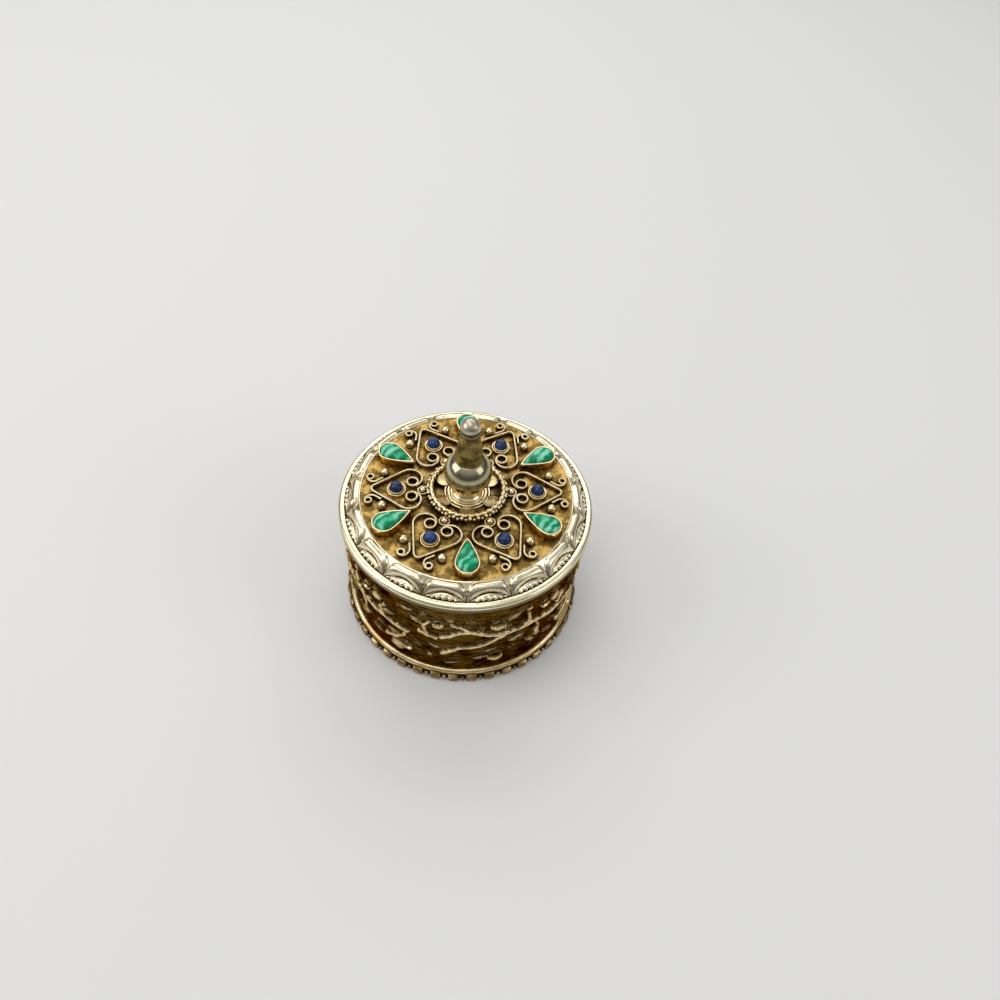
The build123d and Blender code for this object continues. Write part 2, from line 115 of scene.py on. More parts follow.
# Metals: tones for bright patches, for browner ones and for grime with painted shade in hollows.
# A look may name an inner pair of colours about the axis, and a second colour below a height; where these
# paint shade, highlight or reflection, the metal says so.
def metal(name, changes):
    look = {**metalBase, **changes}
    bright, warm, grimeAndShade = look["tones"]
    material, tree, shader, coords = newMaterial(name)
    fine = noiseValue(tree, coords, look["grainScale"], 5, 0.6)
    # Painted shade: ambient occlusion darkens the colour in hollows, creases and next to other parts, broken
    # up by grain as grime
    hollow = addNode(tree, "ShaderNodeAmbientOcclusion", {"Distance": look["grimeShadeReach"] * mm}, samples=8)
    openness = mathNode(tree, "ADD", hollow.outputs["AO"], mathNode(tree, "MULTIPLY", fine, look["grimeShadeGrain"]))
    freeOfGrimeShade = ramp(tree, mathNode(tree, "SUBTRACT", openness, look["grimeShadeGrain"] * 0.5), *look["grimeShadeSpan"])
    patches = ramp(tree, noiseValue(tree, coords, look["patchScale"], 3), *look["patches"])
    tone = mixColour(tree, patches, warm, bright)
    wander = mathNode(tree, "MULTIPLY", mathNode(tree, "SUBTRACT", fine, 0.5), look["wander"] * mm)
    if "inner" in look:
        dark, light, start, end = look["inner"]
        share = ramp(tree, mathNode(tree, "ADD", fromAxis(tree, coords), wander), start * mm, end * mm)
        tone = mixColour(tree, share, mixColour(tree, patches, dark, light), tone)
    if "below" in look:
        dark, start, end = look["below"]
        share = ramp(tree, mathNode(tree, "ADD", parted(tree, coords)[2], wander), start * mm, end * mm)
        tone = mixColour(tree, share, dark, tone)
    polish = ramp(tree, fine, 0.3, 0.7, *look["gloss"])
    feed(tree, shader, {
        "Metallic": 1.0, "Specular Tint": look["edge"], "Base Color": mixColour(tree, freeOfGrimeShade, grimeAndShade, tone),
        "Roughness": mathNode(tree, "ADD", polish, ramp(tree, freeOfGrimeShade, 0, 1, look["grimeShadeRough"], 0.0), True),
        "Normal": addNode(tree, "ShaderNodeBump", {
            "Strength": look["grainStrength"], "Distance": look["grainDepth"] * mm, "Height": fine,
        }),
    })
    return material


metalBase = {
    "wander": 0.4, "edge": (1.0, 0.9, 0.7), "patchScale": 160, "patches": (0.38, 0.62),
    "grimeShadeSpan": (0.2, 0.6), "grimeShadeReach": 1.2, "grimeShadeGrain": 0.3, "grimeShadeRough": 0.25, "grainScale": 900,
    "grainDepth": 0.05, "grainStrength": 0.5, "gloss": (0.22, 0.38),
}

# Wall gilt: the inner pair darkens the relief's low ground and leaves its crests in the bright tones; the
# dark ground is partly patina and partly painted shade on the ridge sides, the bright crests partly worn gilt
# and partly painted highlight
agedGilt = metal("agedGilt", {
    "tones": ((0.99, 0.8, 0.46), (0.84, 0.58, 0.28), (0.02, 0.01, 0.003)),
    "inner": ((0.045, 0.025, 0.008), (0.15, 0.092, 0.032), 28.88, 29.36), "wander": 0.5,
    "edge": (0.36, 0.26, 0.145), "patchScale": 230, "patches": (0.3, 0.66), "grimeShadeSpan": (0.3, 0.8),
    "grimeShadeReach": 0.9, "grimeShadeGrain": 0.7, "grainScale": 800, "grainDepth": 0.14, "gloss": (0.14, 0.32),
})
# Foot gilt: the inner pair darkens the ring and the bars' sides below their raised faces, partly grime and
# partly painted shade between the bars
footGilt = metal("footGilt", {
    "tones": ((0.62, 0.46, 0.24), (0.24, 0.15, 0.06), (0.024, 0.013, 0.005)),
    "inner": ((0.06, 0.035, 0.012), (0.18, 0.1, 0.035), 29.6, 30.1), "patchScale": 420,
    "grimeShadeSpan": (0.35, 0.95), "grimeShadeGrain": 0.6,
})
footThread = metal("footThread", {
    "tones": ((0.92, 0.76, 0.45), (0.6, 0.42, 0.19), (0.06, 0.035, 0.012)), "grimeShadeSpan": (0.25, 0.8),
    "gloss": (0.16, 0.3),
})
# Rim: the darker colour below the roll's middle is painted shade on its lower, outward side
rimPlate = metal("rimPlate", {
    "tones": ((0.96, 0.89, 0.67), (0.84, 0.75, 0.51), (0.16, 0.12, 0.06)),
    "below": ((0.15, 0.125, 0.06), 32.8, 33.5), "patchScale": 90, "grimeShadeSpan": (0.35, 0.7),
    "grainDepth": 0.02, "gloss": (0.2, 0.32),
})
lappetPlate = metal("lappetPlate", {
    "tones": ((0.93, 0.85, 0.63), (0.7, 0.61, 0.42), (0.06, 0.038, 0.016)), "grimeShadeSpan": (0.4, 0.9),
    "grimeShadeReach": 0.9, "grainDepth": 0.03, "gloss": (0.16, 0.3),
})
plateGilt = metal("plateGilt", {
    "tones": ((0.58, 0.38, 0.115), (0.2, 0.125, 0.034), (0.02, 0.011, 0.004)),
    "inner": ((0.055, 0.034, 0.012), (0.36, 0.255, 0.1), 8.5, 15.0), "wander": 8.0,
    "edge": (0.8, 0.6, 0.35), "patchScale": 330, "patches": (0.42, 0.58), "grimeShadeSpan": (0.35, 1.0),
    "grimeShadeReach": 2.2, "grimeShadeGrain": 1.3, "grainScale": 950, "grainDepth": 0.2, "grainStrength": 0.8,
    "gloss": (0.2, 0.42),
})
petalGilt = metal("petalGilt", {
    "tones": ((0.84, 0.67, 0.38), (0.54, 0.39, 0.18), (0.06, 0.038, 0.014)), "patchScale": 420,
    "grimeShadeSpan": (0.2, 0.8), "grimeShadeGrain": 0.6, "grainDepth": 0.12,
})
wireGilt = metal("wireGilt", {
    "tones": ((0.99, 0.86, 0.56), (0.86, 0.66, 0.34), (0.24, 0.14, 0.05)), "grimeShadeReach": 0.5,
    "gloss": (0.24, 0.38),
})
# Scroll wires: the darker colour near their feet is painted shade on the wires' lower sides, leaving the
# milled tops bright
scrollGilt = metal("scrollGilt", {
    "tones": ((0.99, 0.88, 0.6), (0.88, 0.7, 0.38), (0.2, 0.12, 0.04)),
    "below": ((0.34, 0.2, 0.065), 36.8, 37.25), "wander": 0.2, "grimeShadeReach": 0.5, "gloss": (0.22, 0.36),
})
bezelGilt = metal("bezelGilt", {
    "tones": ((0.99, 0.86, 0.56), (0.88, 0.68, 0.36), (0.12, 0.06, 0.018)),
    "below": ((0.6, 0.33, 0.085), 37.8, 38.4), "wander": 0.25, "grimeShadeSpan": (0.2, 0.8), "grimeShadeReach": 1.0,
    "gloss": (0.16, 0.3),
})
paleBead = metal("paleBead", {
    "tones": ((0.98, 0.87, 0.6), (0.88, 0.72, 0.42), (0.2, 0.13, 0.055)), "grimeShadeSpan": (0.25, 0.75),
    "gloss": (0.16, 0.28),
})
# Ball: the golden colour on its lower part is a painted reflection of the gilt lid below it
ballPlate = metal("ballPlate", {
    "tones": ((0.54, 0.5, 0.35), (0.44, 0.39, 0.25), (0.06, 0.045, 0.02)),
    "below": ((0.72, 0.5, 0.2), 40.8, 43.2), "wander": 1.0, "grainDepth": 0.014, "gloss": (0.12, 0.22),
})
stemPlate = metal("stemPlate", {
    "tones": ((0.36, 0.27, 0.095), (0.1, 0.072, 0.023), (0.02, 0.014, 0.006)), "patchScale": 420,
    "grimeShadeSpan": (0.3, 0.9), "grimeShadeReach": 0.7,
})
capPlate = metal("capPlate", {
    "tones": ((0.66, 0.61, 0.49), (0.44, 0.39, 0.28), (0.04, 0.03, 0.015)),
    "below": ((0.26, 0.22, 0.12), 57.6, 58.1), "wander": 0.6, "patchScale": 700, "grimeShadeSpan": (0.5, 0.9),
    "grimeShadeReach": 0.6, "grainDepth": 0.07, "gloss": (0.26, 0.42),
})
plainBrass = metal("plainBrass", {
    "tones": ((0.62, 0.48, 0.25), (0.48, 0.35, 0.16), (0.12, 0.08, 0.03)), "grimeShadeSpan": (0.35, 0.7),
    "grainDepth": 0.02, "gloss": (0.3, 0.45),
})


# Stones: banded green and speckled blue, both polished

greenLook = {
    "deep": (0.0, 0.21, 0.088), "leaf": (0.004, 0.43, 0.2), "pale": (0.27, 0.78, 0.55),
    "turn": (0.5, 0.3, 0.9), "bandScale": 1100 / 6.28, "bandBend": 6.5, "bandShare": 0.22,
}
blueLook = {"deep": (0.004, 0.012, 0.045), "royal": (0.018, 0.065, 0.24), "fleck": (0.26, 0.25, 0.22)}


def bandedGreen(look):
    material, tree, shader, coords = newMaterial("malachite")
    bend = noiseValue(tree, coords, 260, 4)
    bands = addNode(tree, "ShaderNodeTexWave", {
        "Vector": addNode(tree, "ShaderNodeMapping", {"Vector": coords, "Rotation": look["turn"]}),
        "Scale": look["bandScale"], "Distortion": look["bandBend"], "Detail": 2.5, "Detail Scale": 1.6,
    }, wave_type="BANDS", wave_profile="SIN").outputs["Fac"]
    leafy = mixColour(tree, ramp(tree, bands, 0.15, 0.75), look["deep"], look["leaf"])
    cloud = mathNode(tree, "ADD", mathNode(tree, "MULTIPLY", bands, look["bandShare"]), bend)
    feed(tree, shader, {
        "Base Color": mixColour(tree, ramp(tree, cloud, 0.55, 0.84), leafy, look["pale"]),
        "Roughness": ramp(tree, bend, 0.3, 0.7, 0.2, 0.32), "Specular IOR Level": 0.25,
    })
    return material


def speckledBlue(look):
    material, tree, shader, coords = newMaterial("lapis")
    cloud = noiseValue(tree, coords, 420, 4, 0.6)
    base = mixColour(tree, ramp(tree, cloud, 0.35, 0.68), look["deep"], look["royal"])
    flecks = ramp(tree, noiseValue(tree, coords, 2600, 2, 0.5), 0.68, 0.75)
    feed(tree, shader, {
        "Base Color": mixColour(tree, flecks, base, look["fleck"]),
        "Roughness": ramp(tree, cloud, 0.3, 0.7, 0.1, 0.18), "Specular IOR Level": 0.35,
        "Coat Weight": 0.15, "Coat Roughness": 0.08,
    })
    return material


malachite = bandedGreen(greenLook)
lapis = speckledBlue(blueLook)
print("materials made")


# Geometry Nodes trees

def newTree(name, sizes):
    tree = bpy.data.node_groups.new(name, "GeometryNodeTree")
    for label, side, kind in (("Geometry", "OUTPUT", "Geometry"), ("Geometry", "INPUT", "Geometry"), *sizes):
        tree.interface.new_socket(name=label, in_out=side, socket_type="NodeSocket" + kind)
    return tree, addNode(tree, "NodeGroupInput").outputs


def sizeInputs(*labels):
    return [(label, "INPUT", "Float") for label in labels] + [("Finish", "INPUT", "Material")]


def closeTree(tree, given, grown):
    dressed = addNode(tree, "GeometryNodeSetMaterial", {"Geometry": grown, "Material": given["Finish"]})
    addNode(tree, "NodeGroupOutput", {"Geometry": dressed})
    return tree


# Copies of the object's own mesh, turned about the box's axis
def makeRingTree():
    tree, given = newTree("ringOfCopies", [("Count", "INPUT", "Int"), *sizeInputs("First Turn", "Weld")])
    count = given["Count"]
    line = addNode(tree, "GeometryNodeMeshLine", {"Count": count, "Offset": (0, 0, 0)}, mode="OFFSET")
    step = mathNode(tree, "DIVIDE", 2 * pi, count)
    turn = mathNode(tree, "MULTIPLY", addNode(tree, "GeometryNodeInputIndex"), step)
    turn = mathNode(tree, "ADD", turn, given["First Turn"])
    copies = addNode(tree, "GeometryNodeInstanceOnPoints", {
        "Points": line, "Instance": given["Geometry"],
        "Rotation": addNode(tree, "ShaderNodeCombineXYZ", {"Z": turn}),
    })
    real = addNode(tree, "GeometryNodeRealizeInstances", {"Geometry": copies})
    weld = addNode(tree, "GeometryNodeMergeByDistance", {"Geometry": real, "Distance": given["Weld"]})
    return closeTree(tree, given, weld)


# A flat wire on edge along a path of edges, its top milled with a row of small grains
def makeWireTree():
    tree, given = newTree("milledWire", sizeInputs("Width", "Height", "Round", "Grain Step", "Grain Size"))
    size, step = given["Grain Size"], given["Grain Step"]
    path = addNode(tree, "GeometryNodeMeshToCurve", {"Mesh": given["Geometry"]})
    upright = addNode(tree, "GeometryNodeSetCurveNormal", {"Curve": path}, mode="Z_UP")
    section = addNode(tree, "GeometryNodeCurvePrimitiveQuadrilateral", {
        "Width": given["Width"], "Height": given["Height"],
    })
    rounded = addNode(tree, "GeometryNodeFilletCurve", {
        "Curve": section, "Radius": given["Round"], "Count": 2, "Limit Radius": True,
    }, mode="POLY")
    strip = addNode(tree, "GeometryNodeCurveToMesh", {
        "Curve": upright, "Profile Curve": rounded, "Fill Caps": True,
    })
    spots = addNode(tree, "GeometryNodeCurveToPoints", {"Curve": upright, "Length": step}, mode="LENGTH")
    lift = addNode(tree, "ShaderNodeCombineXYZ", {"Z": mathNode(tree, "MULTIPLY", given["Height"], 0.5)})
    grains = addNode(tree, "GeometryNodeInstanceOnPoints", {
        "Points": addNode(tree, "GeometryNodeSetPosition", {"Geometry": spots, "Offset": lift}),
        "Instance": addNode(tree, "GeometryNodeMeshUVSphere", {"Segments": 7, "Rings": 5, "Radius": 1.0}),
        "Rotation": spots.outputs["Rotation"],
        "Scale": addNode(tree, "ShaderNodeCombineXYZ", {
            "X": size, "Y": mathNode(tree, "MULTIPLY", size, 0.6),
            "Z": mathNode(tree, "MULTIPLY", step, 0.56),
        }),
    })
    both = addNode(tree, "GeometryNodeJoinGeometry", {"Geometry": [strip, grains]})
    return closeTree(tree, given, addNode(tree, "GeometryNodeRealizeInstances", {"Geometry": both}))


ringTree = makeRingTree()
wireTree = makeWireTree()


# Mesh helpers

def stand(name, data):
    holder = bpy.data.objects.new(name, data)
    bpy.context.collection.objects.link(holder)
    return holder


def newPiece(name, points, faces, edges=()):
    mesh = bpy.data.meshes.new(name)
    mesh.from_pydata([(x * mm, y * mm, z * mm) for x, y, z in points], list(edges), faces)
    mesh.update()
    return stand(name, mesh)


def grow(piece, tree, values):
    modifier = piece.modifiers.new(tree.name, "NODES")
    modifier.node_group = tree
    for socket in tree.interface.items_tree:
        if socket.in_out == "INPUT" and socket.name in values:
            modifier[socket.identifier] = values[socket.name]
    graph = bpy.context.evaluated_depsgraph_get()
    plain = bpy.data.meshes.new_from_object(piece.evaluated_get(graph))
    piece.modifiers.remove(modifier)
    piece.data = plain
    return piece


def ringOf(piece, count, firstDegrees, finish, weld=0.0):
    values = {"Count": count, "First Turn": radians(firstDegrees), "Weld": weld * mm, "Finish": finish}
    return grow(piece, ringTree, values)


def dress(piece, replaced, finish=None, sharp=40, body="lid"):
    mesh, work = piece.data, bmesh.new()
    work.from_mesh(mesh)
    bmesh.ops.remove_doubles(work, verts=work.verts, dist=0.0005 * mm)
    bmesh.ops.recalc_face_normals(work, faces=work.faces)
    for face in work.faces:
        face.smooth = True
    work.to_mesh(mesh)
    work.free()
    mesh.set_sharp_from_angle(angle=radians(sharp))
    if finish:
        mesh.materials.clear()
        mesh.materials.append(finish)
        mesh.polygons.foreach_set("material_index", [0] * len(mesh.polygons))
    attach(piece, body)
    if replaced:
        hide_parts(*replaced)


# Copies round the lid, each standing for its own CAD node
def setRound(piece, node, firstDegrees, finish, sharp=40):
    ringOf(piece, lidRepeats, firstDegrees, finish)
    dress(piece, [f"{node}_{index + 1}" for index in range(lidRepeats)], finish, sharp)


# Rings of points joined by quads; a ring of one point is a pole, and caps close both ends with a flat face
def skin(name, rings, closed=True, caps=False):
    points, starts, faces = [], [], []
    for ring in rings:
        starts.append(len(points))
        points.extend(ring)
    for (low, lowStart), (high, highStart) in zip(zip(rings, starts), zip(rings[1:], starts[1:])):
        count = max(len(low), len(high))
        for index in range(count if closed else count - 1):
            after = (index + 1) % count
            if len(low) == 1:
                faces.append((lowStart, highStart + after, highStart + index))
            elif len(high) == 1:
                faces.append((lowStart + index, lowStart + after, highStart))
            else:
                faces.append((lowStart + index, lowStart + after, highStart + after, highStart + index))
    if caps:
        faces += [tuple(range(count)), tuple(len(points) - 1 - index for index in range(count))]
    return newPiece(name, points, faces)


def polar(radius, turn, up, centre=(0, 0)):
    return centre[0] + radius * cos(turn), centre[1] + radius * sin(turn), up


def level(radius, up, turns, centre=(0, 0)):
    return [polar(radius, turn, up, centre) for turn in turns]


# Values from low to high, both included
def spaced(steps, low=0.0, high=1.0):
    return [low + (high - low) * index / steps for index in range(steps + 1)]


def evenTurns(steps):
    return spaced(steps, 0, 2 * pi)[:-1]


def turnedPiece(name, outline, steps, loop=False, centreX=0.0):
    rings = []
    for radius, height in (outline + outline[:1] if loop else outline):
        rings.append(level(radius, height, evenTurns(steps) if radius else [0], (centreX, 0)))
    return skin(name, rings)


def ballPiece(name, radius, rows, columns, centre):
    rings = [[(*centre[:2], centre[2] - radius)]]
    for tilt in spaced(rows, -pi / 2, pi / 2)[1:-1]:
        rings.append(level(radius * cos(tilt), centre[2] + radius * sin(tilt), evenTurns(columns), centre))
    return skin(name, rings + [[(*centre[:2], centre[2] + radius)]])


# One piece from several, each part keeping its own finish
def merged(name, parts):
    work, finishes = bmesh.new(), []
    for part in parts:
        finish = part.data.materials[-1] if part.data.materials else None
        if finish not in finishes:
            finishes.append(finish)
        part.data.polygons.foreach_set("material_index", [finishes.index(finish)] * len(part.data.polygons))
        work.from_mesh(part.data)
    mesh = bpy.data.meshes.new(name)
    work.to_mesh(mesh)
    work.free()
    for finish in finishes:
        mesh.materials.append(finish)
    for part in parts:
        bpy.data.objects.remove(part)
    return stand(name, mesh)


def arc(centre, radius, start, end, steps):
    return [polar(radius, radians(turn), 0, centre)[:2] for turn in spaced(steps, start, end)]


def smooth(value, low, high):
    share = min(1.0, max(0.0, (value - low) / (high - low)))
    return share * share * (3 - 2 * share)


def roundEdge(share, fullness=2.0):
    return max(0.0, 1 - abs(share) ** fullness) ** (1 / fullness)


print("helpers ready")


# Drum wall: a cast strip with flowering branches, four repeats round

wall = {
    "columns": 190, "rows": 124, "repeats": 4, "height": 0.88, "hatch": 3.1,
    "twigs": (
        (0.85, ((312, 18.5), (318, 18.3), (326, 17.4), (333, 17.1))),
        (0.8, ((339.5, 19.7), (343, 18.9), (347, 18.3))),
        (0.85, ((349.5, 18.9), (353, 19.9), (355.5, 20.9))),
        (0.9, ((355.5, 21.1), (358, 21.8), (362, 22), (366, 21.4), (370, 20.3))),
        (0.75, ((370, 20.2), (376, 19.4), (382, 19.3), (388, 19.4), (394, 19.7), (402, 18.5))),
        (0.85, ((350, 11.7), (354, 13.3), (358, 14.7))),
        (0.75, ((358.5, 15), (365, 15.2), (370, 16.3), (376, 18.1), (380, 19.2))),
        (0.6, ((333, 17.1), (331, 14.4), (327, 12.1), (321, 10.7))),
        (0.55, ((388, 19.3), (391, 21.9), (390, 24.5))),
        (0.55, ((320, 18.2), (318, 20.9), (321, 23.3))),
        (0.5, ((362, 22), (359, 23.9), (354, 25.1))),
        (0.55, ((394, 19.6), (397, 16.1), (396, 13.5))),
        (0.5, ((343, 18.9), (341, 22.4), (344, 24.9))),
    ),
    "domes": ((316, 24.2, 1.7, 0.8), (327, 8.3, 2.3, 0.75), (344, 9.9, 0.8, 0.7), (397, 12.3, 1.3, 0.7),
              (390, 26.1, 1.2, 0.6), (353, 26.5, 1.4, 0.5)),
    "leaves": ((323, 21, 2.3, 1.2, 20), (326, 13.6, 2.3, 1.4, -15), (385, 15.4, 2.2, 1.1, 12),
               (383, 25.8, 2.2, 1.1, 24), (337, 24, 2.2, 1.1, -32), (332, 27, 2.2, 1, 15),
               (368, 9.9, 2.2, 0.9, 8), (393, 11.2, 2.1, 1, -38), (346, 14.5, 1.7, 0.7, -24),
               (405, 9.5, 2, 0.8, -12), (372, 12.8, 1.9, 0.6, 14), (355, 7.6, 1.9, 0.6, 6)),
    "clusters": ((338, 12.7), (401, 22.9), (362, 26.6), (317, 13.3), (406, 26.9), (367, 23.2), (383, 11.7),
                 (341, 27.4), (380, 21.9)),
    "clusterDot": 0.4, "clusterRise": 0.5, "clusterReach": 0.72,
    "blossoms": ((375, 23.7, 2.0), (375, 9.4, 2.0), (348, 24.4, 1.5), (333, 9.9, 1.3), (399, 24.6, 1.4)),
    "bowl": (1.15, 0.5, 1.25, 0.86, 3.5),
    "seedSize": 0.34, "seedRise": 0.55, "seedTurns": (40, 140), "seedArc": (0.72, 0.55, 0.35),
    "barkShare": 0.06, "knots": 0.25, "leafRise": 0.66, "vein": 0.22, "ribs": 0.08,
    "bandRise": 0.22, "bandIn": (-1.3, -1.0), "fadeIn": (0.3, 1.1), "fadeOut": (-1.5, -0.9),
    "pits": (0.07, 0.13, 0.08), "pitScale": 0.55, "streak": (0.38, 1.35, 0.9),
}


# Heights above the plain wall, on a grid that closes on the next repeat
def wallField():
    columns, rows = wall["columns"], wall["rows"]
    span = 2 * pi * box["drumRadius"] / wall["repeats"]
    low, high = box["wallFoot"], box["seatHeight"]
    acrossStep, upStep = span / columns, (high - low) / rows
    field = [[0.0] * columns for _ in range(rows + 1)]
    perDegree = span * wall["repeats"] / 360

    def stamp(across, up, reach, shape):
        firstRow = max(0, math.floor((up - reach - low) / upStep))
        lastRow = min(rows, math.ceil((up + reach - low) / upStep))
        firstColumn = math.floor((across - reach) / acrossStep)
        lastColumn = math.ceil((across + reach) / acrossStep)
        for column in range(firstColumn, lastColumn + 1):
            for row in range(firstRow, lastRow + 1):
                value = shape(column * acrossStep - across, row * upStep + low - up)
                field[row][column % columns] = max(value, field[row][column % columns])

    def stampDome(across, up, size, rise):
        stamp(across, up, size, lambda x, y: rise * roundEdge(min(1.0, hypot(x, y) / size)))

    def stampTwig(width, start, end):
        runX, runY = end[0] - start[0], end[1] - start[1]
        length = hypot(runX, runY)

        def shape(x, y):
            forward = (x * runX + y * runY) / length
            aside = (y * runX - x * runY) / length
            past = max(0.0, abs(forward) - length / 2)
            share = hypot(past, aside * (1.0 + wall["knots"] * sin(forward * 2.1 + start[0]))) / width
            bark = 1 - wall["barkShare"] * (1 - sin((forward + aside * 0.8) * wall["hatch"] * pi))
            return wall["height"] * roundEdge(min(share, 1.0), 1.7) * bark
        stamp((start[0] + end[0]) / 2, (start[1] + end[1]) / 2, length / 2 + width, shape)

    def leafShape(length, width, tilt):
        turn = radians(tilt)

        def shape(x, y):
            along = (x * cos(turn) + y * sin(turn)) / length
            aside = (-x * sin(turn) + y * cos(turn)) / width
            if abs(along) >= 1:
                return 0.0
            share = aside / max(0.05, 1 - along * along)
            if abs(share) >= 1:
                return 0.0
            vein = wall["vein"] * math.exp(-(aside * 6) ** 2)
            ribs = wall["ribs"] * sin(along * 16 + abs(aside) * 7)
            return wall["height"] * wall["leafRise"] * (roundEdge(share, 1.8) - vein + ribs)
        return shape

    def bowlShape(size):
        squash, hollowUp, hollowSquash, hollowSize, lip = wall["bowl"]

        def shape(x, y):
            outer = 1 - hypot(x, y * squash) / size
            inner = hypot(x, (y - size * hollowUp) * hollowSquash) / (size * hollowSize) - 1
            if outer <= 0 or inner <= 0:
                return 0.0
            return wall["height"] * roundEdge(1 - min(1.0, min(outer, inner) * lip))
        return shape

    for width, points in wall["twigs"]:
        places = [(around * perDegree, up) for around, up in points]
        for start, end in zip(places, places[1:]):
            stampTwig(width, start, end)
    for around, up, size, rise in wall["domes"]:
        stampDome(around * perDegree, up, size, rise)
    for around, up, length, width, tilt in wall["leaves"]:
        stamp(around * perDegree, up, length, leafShape(length, width, tilt))
    for around, up in wall["clusters"]:
        for dot in range(6):
            turn, out = radians(dot * 72 + around * 3), 0.0 if dot == 5 else wall["clusterReach"]
            spot = polar(out, turn, 0, (around * perDegree, up))
            stampDome(*spot[:2], wall["clusterDot"], wall["clusterRise"])
    wide, tall, lift = wall["seedArc"]
    for around, up, size in wall["blossoms"]:
        stamp(around * perDegree, up, size, bowlShape(size))
        for turn in spaced(4, *wall["seedTurns"]):
            across = around * perDegree + size * wide * cos(radians(turn))
            seedUp = up + size * (lift + tall * sin(radians(turn)))
            stampDome(across, seedUp, wall["seedSize"], wall["seedRise"])
    return field, acrossStep, upStep


def makeWall():
    field, acrossStep, upStep = wallField()
    columns = wall["columns"]
    low, high, radius, bore = box["wallFoot"], box["seatHeight"], box["drumRadius"], box["drumBore"]
    turns = [column * acrossStep / radius for column in range(columns + 1)]
    broadPits, streaks, finePits = wall["pits"]
    scale, (wide, tall, bend) = wall["pitScale"], wall["streak"]
    rings = []
    for row, heights in enumerate(field):
        up = low + row * upStep
        fade = smooth(up - low, *wall["fadeIn"]) * (1 - smooth(up - high, *wall["fadeOut"]))
        band = wall["bandRise"] * smooth(up - high, *wall["bandIn"])
        ring = []
        for column, turn in enumerate(turns):
            around = column % columns
            across = around * acrossStep
            spot = Vector((across * scale, up * scale, 3.0))
            streak = Vector((across * wide, up * tall + bend * noise.noise(spot * 0.6), 7.0))
            pits = broadPits * noise.noise(spot * 1.4) + streaks * noise.noise(streak)
            pits += finePits * noise.noise(streak * 2.2)
            edge = smooth(min(around, columns - around), 0, 8)
            reach = radius + heights[around] * fade + band + pits * edge * (fade * 0.8 + 0.2)
            ring.append(polar(reach, turn, up))
        rings.append(ring)
    rings += [level(bore, high, turns), level(bore, low, turns), rings[0]]
    piece = skin("branchWall", rings, closed=False)
    ringOf(piece, wall["repeats"], 0, agedGilt, 0.02)
    dress(piece, ["drum_wall"], sharp=60, body="box")


makeWall()
print("wall made")


# Foot: a ring with cushion bars, round beads between them, and the wire above

foot = {
    "bars": 42, "barWidth": 2.75, "barHeight": 2.42, "barRise": 0.96, "barBack": 0.4, "barFullness": 3.2,
    "coreRadius": 29.5, "boreRadius": 25.65, "corner": 0.3,
    "beadRadius": 0.68, "beadOut": 29.66, "beadUp": 1.2,
    "wireIn": 28.63, "wireWidth": 0.87, "wireHeight": 0.9, "steps": 168,
}


def cushionBar(middle, steps=9):
    width, height, out = foot["barWidth"], foot["barHeight"], foot["coreRadius"]
    rings = []
    for across in spaced(steps, -1, 1):
        ring = []
        for vertical in spaced(steps, -1, 1):
            swell = roundEdge(across, foot["barFullness"]) * roundEdge(vertical, foot["barFullness"])
            ring.append((out + foot["barRise"] * swell, across * width / 2, middle + vertical * height / 2))
        back = [(out - foot["barBack"], across * width / 2, middle + side * height / 2) for side in (1, -1)]
        rings.append(ring + back)
    return skin("footBar", rings, caps=True)


def makeFoot():
    bore, core, top, corner = foot["boreRadius"], foot["coreRadius"], box["footHeight"], foot["corner"]
    outline = [(bore, 0), (core - corner, 0), (core, corner)]
    outline += [(core, top - corner), (core - corner, top), (bore, top)]
    ring = turnedPiece("footRing", outline, foot["steps"], loop=True)
    centre = polar(foot["beadOut"], pi / foot["bars"], foot["beadUp"])
    bars = merged("footBars", [cushionBar(top / 2), ballPiece("footBead", foot["beadRadius"], 6, 10, centre)])
    ringOf(bars, foot["bars"], 0, footGilt)
    whole = merged("cushionFoot", [bars, ring])
    dress(whole, ["foot_moulding"], footGilt, sharp=50, body="box")
    inner = foot["wireIn"]
    quarter = arc((0, 0), 1, 0, 90, 8)
    curve = [(inner + foot["wireWidth"] * x, top + foot["wireHeight"] * z) for x, z in quarter]
    cord = turnedPiece("footWire", [(inner, top)] + curve, foot["steps"], loop=True)
    dress(cord, ["foot_wire"], footThread, sharp=50, body="box")


makeFoot()
print("foot made")


# Lid rim: a heavy roll

rim = {
    "inner": 28.4, "outer": 30.0, "low": 31.6, "high": 34.0,
    "lowCorner": 0.6, "topCorner": 0.85, "lip": 0.3, "steps": 200,
}


def makeRim():
    low, top, lip = rim["lowCorner"], rim["topCorner"], rim["lip"]
    outline = [(rim["inner"], rim["low"])]
    outline += arc((rim["outer"] - low, rim["low"] + low), low, -90, 0, 6)
    outline += arc((rim["outer"] - top, rim["high"] - top), top, 0, 90, 8)
    outline += arc((rim["inner"] + lip, rim["high"] - lip), lip, 90, 180, 5)
    piece = turnedPiece("rolledRim", outline, rim["steps"], loop=True)
    dress(piece, ["lid_rim"], rimPlate, sharp=50)


makeRim()


# Lappet border: eighteen arches stand on a slope, each over a small lobe with five beads

